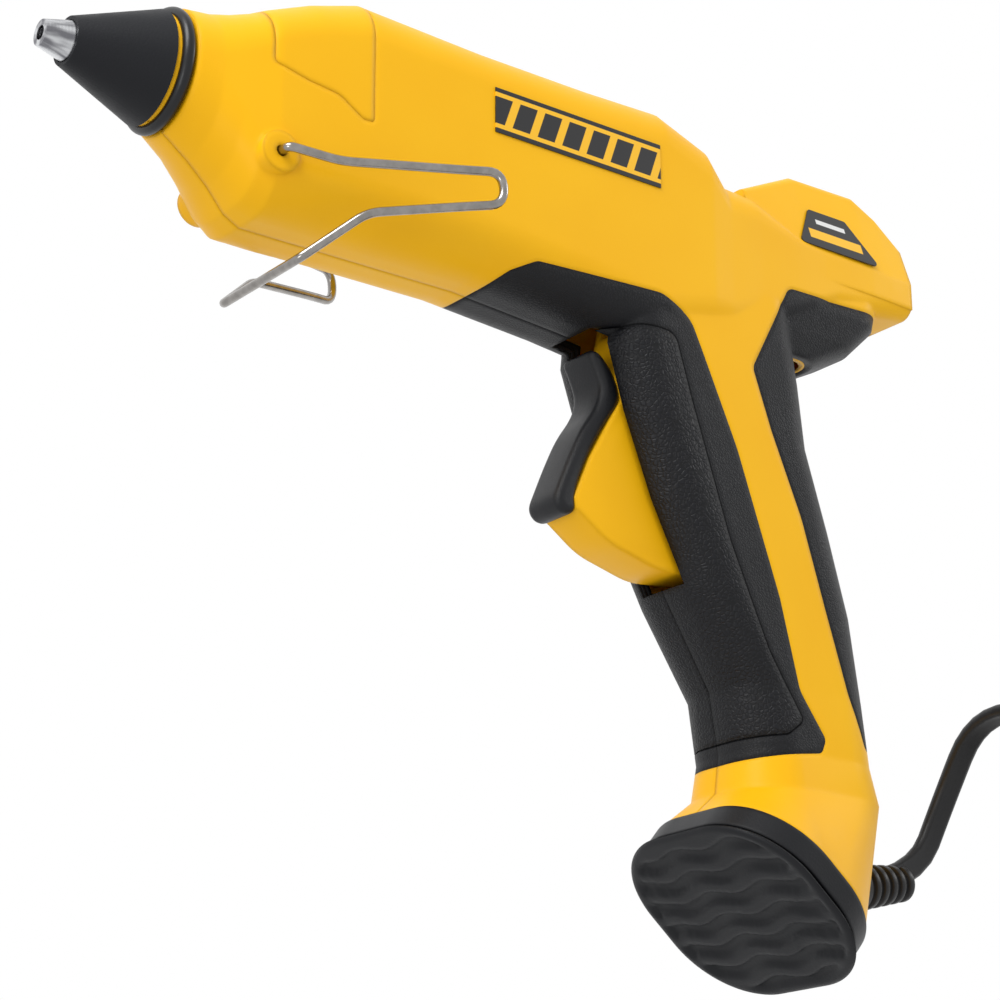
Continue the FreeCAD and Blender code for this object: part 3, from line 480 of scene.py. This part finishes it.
bpy.ops.object.shade_smooth_by_angle(angle=math.radians(45.0))
bpy.ops.object.transform_apply(location=True, rotation=True, scale=True)
sole.data.materials.append(foot_black)
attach(sole, "gun")
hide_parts("foot_sole")

# ---------------------------------------------------------------- printed marks
# Thin plates stuck on the barrel and the fin, printed with plain bars and slanted blocks in
# place of any name or wording.
INK_BLACK, INK_WHITE = (0.012, 0.012, 0.013), (0.75, 0.75, 0.74)
BAR, BLOCK_MARGIN, BLOCK_PITCH, PRINT_EDGE = 0.0011, 0.0022, 0.0036, 0.00004
mark, shader, place = material("printed_side_mark", YELLOW, 0.4)
x, y, z = parts_of(along_gun(place))
low, high = 0.0024, 0.0136
bars = z.above(high - BAR, PRINT_EDGE) + (1.0 - z.above(low + BAR, PRINT_EDGE))
leaning = x + z * -0.35
slant = leaning.maths("PINGPONG", leaning, BLOCK_PITCH)
tall = z.within(low + BLOCK_MARGIN, high - BLOCK_MARGIN, PRINT_EDGE)
blocks = slant.above(0.0011, 0.00006) * tall
printed = bars + blocks
ink = printed.maths("MINIMUM", printed, 1.0)
feed(shader, "Base Color", ink.blend((*YELLOW, 1.0), (*INK_BLACK, 1.0)))
paint(mark, "side_mark_left", "side_mark_right")
badge, shader, place = material("printed_badge", INK_BLACK, 0.35)
x, y, z = parts_of(along_gun(place))
upper = z.within(0.0098, 0.0112, 0.00005) * x.within(0.2095, 0.2195, 0.0001)
lower = z.within(0.0048, 0.0076, 0.00005) * x.within(0.2060, 0.2240, 0.0001)
first = upper.blend((*INK_BLACK, 1.0), (*INK_WHITE, 1.0))
feed(shader, "Base Color", lower.blend(first, (*YELLOW, 1.0)))
paint(badge, "rear_badge_left", "rear_badge_right")

# ---------------------------------------------------------------- inside pieces and screws
# Plated screws and pins, the cast melt chamber with its ceramic heater, and the plain mouldings
# that hold them between the housing halves.
STEEL_NODES = ("housing_screws", "trigger_pin", "trigger_spring", "heater_clip", "seal_clamp",
               "grip_teeth")
PALE_NODES = ("ceramic_heater", "heater_lead_left", "heater_lead_right", "terminal_block",
              "feed_carriage")
BLACK_NODES = ("stick_guide", "front_chamber_support", "rear_chamber_support")
FINISHES = [
    ("plated_steel", (0.45, 0.45, 0.46), 0.35, 1.0, STEEL_NODES),
    ("cast_alloy", (0.5, 0.5, 0.5), 0.5, 1.0, ("melt_chamber",)),
    ("fired_ceramic", (0.8, 0.78, 0.72), 0.6, 0.0, PALE_NODES),
    ("moulded_black", (0.015, 0.015, 0.016), 0.45, 0.0, BLACK_NODES),
    ("red_silicone", (0.45, 0.09, 0.05), 0.5, 0.0, ("stick_inlet_seal",)),
]
for name, colour, roughness, metallic, nodes in FINISHES:
    finish, shader, place = material(name, colour, roughness, metallic)
    feed(shader, "Roughness", noise(place, 300.0, 3.0) * 0.2 + (roughness - 0.1))
    bump(shader, place, noise(place, 1400.0, 3.0), 0.2, 0.0002)
    paint(finish, *nodes)

# ---------------------------------------------------------------- cord
# Flat two-core lead, 6.2 mm wide, 1.8 m long: it comes out of the strain relief at the foot of
# the handle, drops to the table, and its spare length is put away in a coil with the plug on it.
cord_black, shader, place = material("cord_vinyl", (0.0085, 0.0085, 0.0095), 0.42, specular=0.45)
feed(shader, "Roughness", noise(place, 200.0, 3.0) * 0.18 + 0.32)
bump(shader, place, noise(place, 1100.0, 3.0), 0.12, 0.0002)
CORD_WIDTH, CORD_THICK = 0.0062, 0.0033
ROUTE = [(0.1265, 0.0, 0.0290), (0.1418, 0.0, 0.0475), (0.1350, -0.003, 0.0690),
         (0.1200, -0.020, 0.0800), (0.1230, -0.044, 0.0770), (0.1380, -0.057, 0.0620),
         (0.1560, -0.059, 0.0400), (0.1780, -0.058, 0.0200), (0.2040, -0.0556, 0.0070),
         (0.2280, -0.0546, 0.0030)]
coil_low, coil_high = (Vector(corner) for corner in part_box("cord_coil"))
coil_middle = (coil_low + coil_high) / 2
STEPS, HOLD, SHIFT = 20, 15, 3
COLUMNS = (0.0355, 0.0292)
LAYER = CORD_THICK + 0.0001
TURNS = 8
lowest = CORD_THICK / 2 + 0.0002
turns = [(COLUMNS[(0, 1, 1, 0)[number % 4]], lowest + LAYER * (number // 2))
         for number in range(TURNS)]
route = [Vector(point) for point in ROUTE]
turned = 0
for number, (radius, height) in enumerate(turns):
    next_radius, next_height = turns[min(number + 1, TURNS - 1)]
    for count in range(HOLD + SHIFT if number < TURNS - 1 else HOLD):
        share = max(0, count - HOLD + 1) / SHIFT
        reach = radius + (next_radius - radius) * share
        angle = math.tau * turned / STEPS - math.pi / 2
        route.append(Vector((coil_middle.x + reach * math.cos(angle),
                             coil_middle.y + reach * math.sin(angle),
                             height + (next_height - height) * share)))
        turned += 1
plug_low, plug_high = (Vector(corner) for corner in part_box("plug_body"))
plug_rear = Vector(((plug_low.x + plug_high.x) / 2, plug_low.y, (plug_low.z + plug_high.z) / 2))
TO_PLUG = [(-0.013, -0.0200, -0.0080), (-0.004, -0.0150, -0.0030), (0.0, -0.0080, 0.0),
           (0.0, 0.0030, 0.0)]
route += [plug_rear + Vector(step) for step in TO_PLUG]
line = bpy.data.curves.new("cord_line", "CURVE")
line.dimensions = "3D"
spline = line.splines.new("NURBS")
spline.points.add(len(route) - 1)
for point, at in zip(spline.points, route):
    point.co = (*at, 1.0)
spline.order_u = 3
spline.use_endpoint_u = True
spline.resolution_u = 6
line_object = bpy.data.objects.new("cord_line", line)
scene.collection.objects.link(line_object)
bpy.context.view_layer.update()
follow = bpy.data.meshes.new_from_object(line_object)
path = [vertex.co.copy() for vertex in follow.vertices]
bpy.data.objects.remove(line_object)


def flat_cord(name, path, width, thick):
    """A tube along the path with the twin-core section: two round cores and a groove between."""
    section = []
    sides = 10
    core = thick / 2
    reach = width / 2 - core
    for number in range(sides):
        turn = -math.pi / 2 + math.pi * (number + 0.5) / sides
        section.append((reach + core * math.cos(turn), core * math.sin(turn)))
    section.append((0.0, core * 0.62))
    section += [(-across, -up) for across, up in section[:sides]]
    section.append((0.0, -core * 0.62))
    vertices, faces = [], []
    count = len(section)
    side = Vector((0.772, 0.0, -0.636))
    for index, here in enumerate(path):
        before, after = path[max(index - 1, 0)], path[min(index + 1, len(path) - 1)]
        way = (after - before).normalized()
        side = (side - way * side.dot(way)).normalized()
        flat = Vector((0.0, 0.0, 1.0)).cross(way)
        share = min(1.0, max(0.0, (index - 6) / 40.0))
        if flat.length > 0.2:
            flat.normalize()
            if flat.dot(side) < 0:
                flat = -flat
            side = (side * (1 - 0.12 * share) + flat * (0.12 * share)).normalized()
        up = way.cross(side)
        vertices += [here + side * a + up * b for a, b in section]
    for ring in range(len(path) - 1):
        for corner in range(count):
            following = (corner + 1) % count
            faces.append((ring * count + corner, ring * count + following,
                          (ring + 1) * count + following, (ring + 1) * count + corner))
    faces.append(tuple(range(count))[::-1])
    faces.append(tuple((len(path) - 1) * count + corner for corner in range(count)))
    mesh = bpy.data.meshes.new(name)
    mesh.from_pydata(vertices, [], faces)
    mesh.update()
    piece = bpy.data.objects.new(name, mesh)
    scene.collection.objects.link(piece)
    return piece


cord = flat_cord("supply_cord", path, CORD_WIDTH, CORD_THICK)
cord.data.materials.append(cord_black)
select_all_of(cord)
bpy.ops.object.mode_set(mode="EDIT")
bpy.ops.mesh.select_all(action="SELECT")
bpy.ops.mesh.normals_make_consistent(inside=False)
bpy.ops.object.mode_set(mode="OBJECT")
bpy.ops.object.shade_smooth_by_angle(angle=math.radians(50.0))
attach(cord, "gun")
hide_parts("cord", "cord_coil")

# ---------------------------------------------------------------- plug
# A flat plug moulded on the end of the cord, with two brass blades.  It lies on the coil of the
# cord that is put away.
blade_brass, shader, place = material("blade_brass", (0.72, 0.56, 0.27), 0.25, metallic=1.0)
feed(shader, "Roughness", noise(place, 400.0, 3.0) * 0.2 + 0.18)
bump(shader, place, noise(place, 900.0, 2.0), 0.05, 0.0001)
plug = eased("plug_body", "gun", 0.0016, 4, cord_black)
blades = eased("plug_blades", "gun", 0.0004, 2, blade_brass)

# ---------------------------------------------------------------- strain relief
# A tapered rubber sleeve moulded on the cord and held in the foot of the handle by its flange,
# with ribs all round it so that it bends evenly.
relief_way = (barrel_way * 0.985 + barrel_up * 0.174).normalized()
FLANGE_EXTRA, FLANGE_THICK, NECK = 0.0018, 0.002, 0.0075
relief_root = at_gun(221.0, 0.0, -154.6)
RIBS, LENGTH, ROOT, END = 5, 0.024, 0.0055, 0.0042
bpy.ops.object.select_all(action="DESELECT")
bpy.ops.mesh.primitive_circle_add(vertices=48, radius=ROOT + FLANGE_EXTRA, fill_type="NGON")
relief = bpy.context.object
relief.name = "ribbed_relief"
bpy.ops.object.mode_set(mode="EDIT")
bpy.ops.mesh.select_all(action="SELECT")
profile = [(FLANGE_THICK, ROOT + FLANGE_EXTRA), (FLANGE_THICK, ROOT), (NECK, ROOT)]
pitch = (LENGTH - NECK - 0.001) / RIBS
for rib in range(RIBS):
    start = NECK + rib * pitch
    size = ROOT + (END - ROOT) * (rib / RIBS)
    profile += [(start + pitch * 0.12, size - 0.0011), (start + pitch * 0.34, size - 0.0011),
                (start + pitch * 0.46, size), (start + pitch * 0.94, size - 0.0001)]
profile += [(LENGTH, END - 0.0009)]
last_z, last_radius = 0.0, ROOT + FLANGE_EXTRA
for z, radius in profile:
    bpy.ops.mesh.extrude_region_move(TRANSFORM_OT_translate={"value": (0.0, 0.0, z - last_z)})
    ratio = radius / last_radius
    bpy.ops.transform.resize(value=(ratio, ratio, 1.0))
    last_z, last_radius = z, radius
bpy.ops.mesh.select_all(action="SELECT")
bpy.ops.mesh.remove_doubles(threshold=0.000005)
bpy.ops.mesh.fill_holes(sides=0)
bpy.ops.mesh.normals_make_consistent(inside=False)
bpy.ops.object.mode_set(mode="OBJECT")
quarter = relief_way.to_track_quat("Z", "Y").to_matrix().to_4x4()
relief.matrix_world = Matrix.Translation(relief_root - relief_way * FLANGE_THICK) @ quarter
bpy.ops.object.transform_apply(location=True, rotation=True, scale=True)
round_off = relief.modifiers.new("round_off", "BEVEL")
round_off.width = 0.0003
round_off.segments = 2
round_off.limit_method = "ANGLE"
bpy.ops.object.modifier_apply(modifier="round_off")
bpy.ops.object.shade_smooth_by_angle(angle=math.radians(35.0))
relief.data.materials.append(cord_black)
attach(relief, "gun")
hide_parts("strain_relief")
exit_point = relief_root + relief_way * (LENGTH - FLANGE_THICK)

# ---------------------------------------------------------------- table, light and air
# A plain pale table that is only there from above, in soft studio light: a white wall ahead of
# the camera, dimmer air behind it, and three round soft lamps.
bpy.ops.object.select_all(action="DESELECT")
bpy.ops.mesh.primitive_plane_add(size=24.0, location=(0.0, 0.0, -0.0003))
table_top = bpy.context.object
table_top.name = "table_top"
pale = bpy.data.materials.new("pale_table")
pale.use_nodes = True
shader = pale.node_tree.nodes["Principled BSDF"]
shader.inputs["Base Color"].default_value = (0.82, 0.82, 0.81, 1.0)
shader.inputs["Roughness"].default_value = 0.8
start = Sock(pale.node_tree, None)
facing = start.out("NewGeometry", output=6)
clear = start.out("BsdfTransparent")
mixed = start.out("MixShader", i0=facing, i1=Sock(pale.node_tree, shader.outputs[0]), i2=clear)
pale.node_tree.links.new(mixed.link, pale.node_tree.nodes["Material Output"].inputs["Surface"])
table_top.data.materials.append(pale)
table_top.visible_shadow = False
table_top.visible_diffuse = False
table_top.visible_glossy = False
table_top.visible_transmission = False

world = bpy.data.worlds.new("studio")
scene.world = world
world.use_nodes = True
background = world.node_tree.nodes["Background"]
background.inputs["Color"].default_value = (1.0, 1.0, 1.0, 1.0)
sky = Sock(world.node_tree, None).out("TexCoord", output=0)
ahead = sky.out("VectorMath", {"operation": "DOT_PRODUCT"}, output=1, i0=sky, i1=VIEW_WAY)
feed(background, "Strength", ahead.above(0.45, 0.30) * 0.27 + 0.73)
aim = Vector((0.0, 0.0, 0.08))
LAMPS = [
    ("key_lamp", aim + view_up * 0.75 - VIEW_WAY * 0.35 - view_right * 0.35, 0.5, 4.8),
    ("front_lamp", aim - VIEW_WAY * 0.9 - view_right * 0.5 + view_up * 0.1, 0.35, 1.3),
    ("rim_lamp", aim + view_right * 0.8 + view_up * 0.3 + VIEW_WAY * 0.3, 0.3, 1.0),
]
for name, place, size, power in LAMPS:
    lamp_data = bpy.data.lights.new(name, "AREA")
    lamp_data.shape = "DISK"
    lamp_data.size = size
    lamp_data.energy = power
    lamp = bpy.data.objects.new(name, lamp_data)
    lamp.location = place
    lamp.rotation_euler = (aim - place).to_track_quat("-Z", "Y").to_euler()
    scene.collection.objects.link(lamp)
